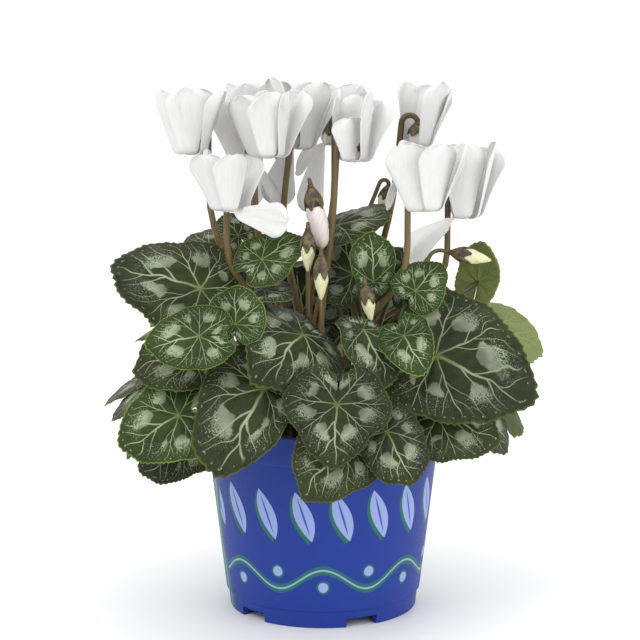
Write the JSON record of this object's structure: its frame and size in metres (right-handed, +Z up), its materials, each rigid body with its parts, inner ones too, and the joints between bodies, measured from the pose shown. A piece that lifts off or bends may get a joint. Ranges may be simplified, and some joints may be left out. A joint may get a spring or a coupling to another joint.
{
  "type": "potted cyclamen",
  "caption": "Cyclamen in a tapered round plastic pot, with silver-marked heart-shaped leaves, nodding white flowers and drooping buds.",
  "frame": {"origin": "on the pot's axis, in the plane on which the pot stands", "axes": "+Z up, with the plant's usual front facing -Y and +X to the right seen from the front"},
  "size_m": [0.2063, 0.1904, 0.2488],
  "materials": {
    "pot": "satin moulded royal blue plastic",
    "soil": "rough moist peat",
    "corm": "rough corky skin",
    "leaf": "satin, silver marbled",
    "scape": "satin, fleshy",
    "petal": "soft matt, slightly translucent",
    "bud": "soft matt"
  },
  "bodies": {
    "root": {"flower_far_left": "petal", "flower_far_left_stalk": "scape", "flower_left_back": "petal", "flower_left_back_stalk": "scape", "flower_left_front": "petal", "flower_left_front_stalk": "scape", "flower_middle_left": "petal", "flower_middle_left_stalk": "scape", "flower_middle": "petal", "flower_middle_stalk": "scape", "flower_middle_right": "petal", "flower_middle_right_stalk": "scape", "flower_low_left": "petal", "flower_low_left_stalk": "scape", "flower_right_low": "petal", "flower_right_low_stalk": "scape", "flower_right_high": "petal", "flower_right_high_stalk": "scape", "flower_far_right": "petal", "flower_far_right_stalk": "scape", "flower_back": "petal", "flower_back_stalk": "scape", "bud_opening": "bud", "bud_opening_stalk": "scape", "bud_left": "bud", "bud_left_stalk": "scape", "bud_middle": "bud", "bud_middle_stalk": "scape", "bud_right": "bud", "bud_right_stalk": "scape", "bud_far_right": "bud", "bud_far_right_stalk": "scape", "bud_young": "bud", "bud_young_stalk": "scape", "leaf_front_low": "leaf", "leaf_front_mid": "leaf", "leaf_front_right": "leaf", "leaf_front_left": "leaf", "leaf_centre": "leaf", "leaf_centre_right": "leaf", "leaf_right_folded": "leaf", "leaf_right_big": "leaf", "leaf_right_top": "leaf", "leaf_right_low": "leaf", "leaf_left_big": "leaf", "leaf_left_mid": "leaf", "leaf_left_small": "leaf", "leaf_upper_left": "leaf", "leaf_left_low": "leaf", "leaf_left_lowest": "leaf", "leaf_middle_left": "leaf", "leaves_left": "leaf", "leaves_right": "leaf", "leaves_middle": "leaf", "leaves_upper_left": "leaf", "leaves_back_left": "leaf", "leaves_back_right": "leaf", "pot": "pot", "soil": "soil", "corm": "corm"}
  },
  "joints": []
}
